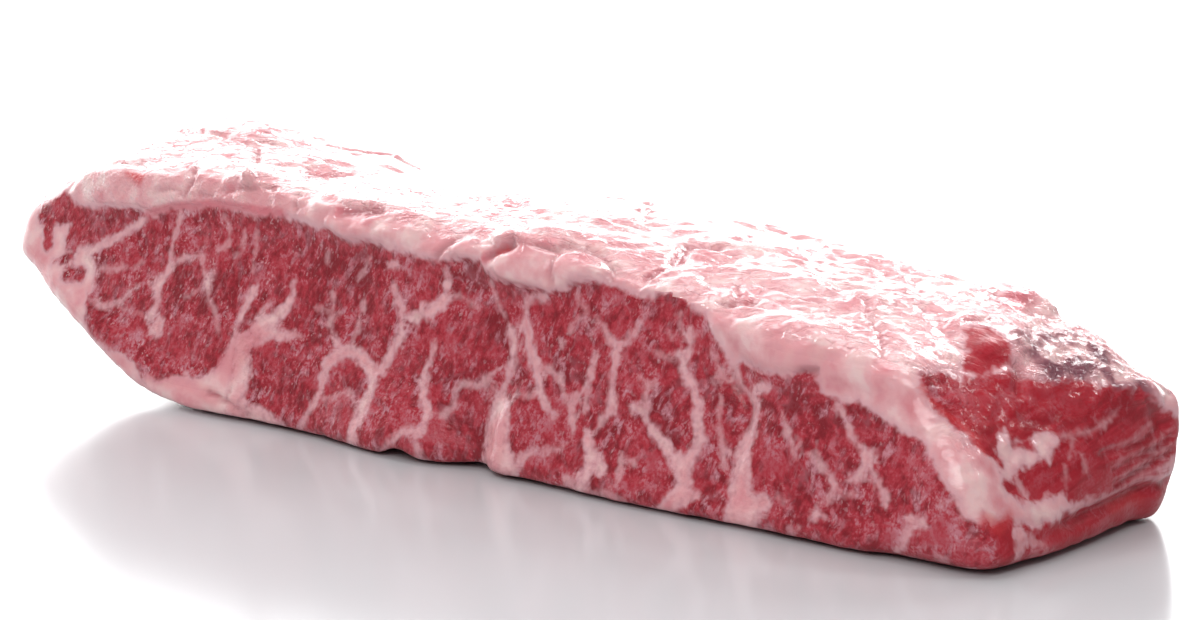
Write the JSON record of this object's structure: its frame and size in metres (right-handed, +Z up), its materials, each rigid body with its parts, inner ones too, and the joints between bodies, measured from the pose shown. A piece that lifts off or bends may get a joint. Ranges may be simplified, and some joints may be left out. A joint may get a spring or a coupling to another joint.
{
  "type": "chuck flap steak",
  "caption": "Raw chuck flap steak: a long block of heavily marbled beef under a cap of fat, with a raised nose, a blunt end and a flat underside to lie on.",
  "frame": {"origin": "middle of the bounding box's foot, on the surface that the steak lies on", "axes": "+X along the steak from its raised nose to its blunt end, -Y out of the large knife-cut face, +Z up"},
  "size_m": [0.3726, 0.0916, 0.0751],
  "materials": {
    "raw_beef": "raw beef, moist: crimson lean with pink and cream fat"
  },
  "bodies": {
    "root": {"chuck_flap_steak": "raw_beef"}
  },
  "joints": []
}
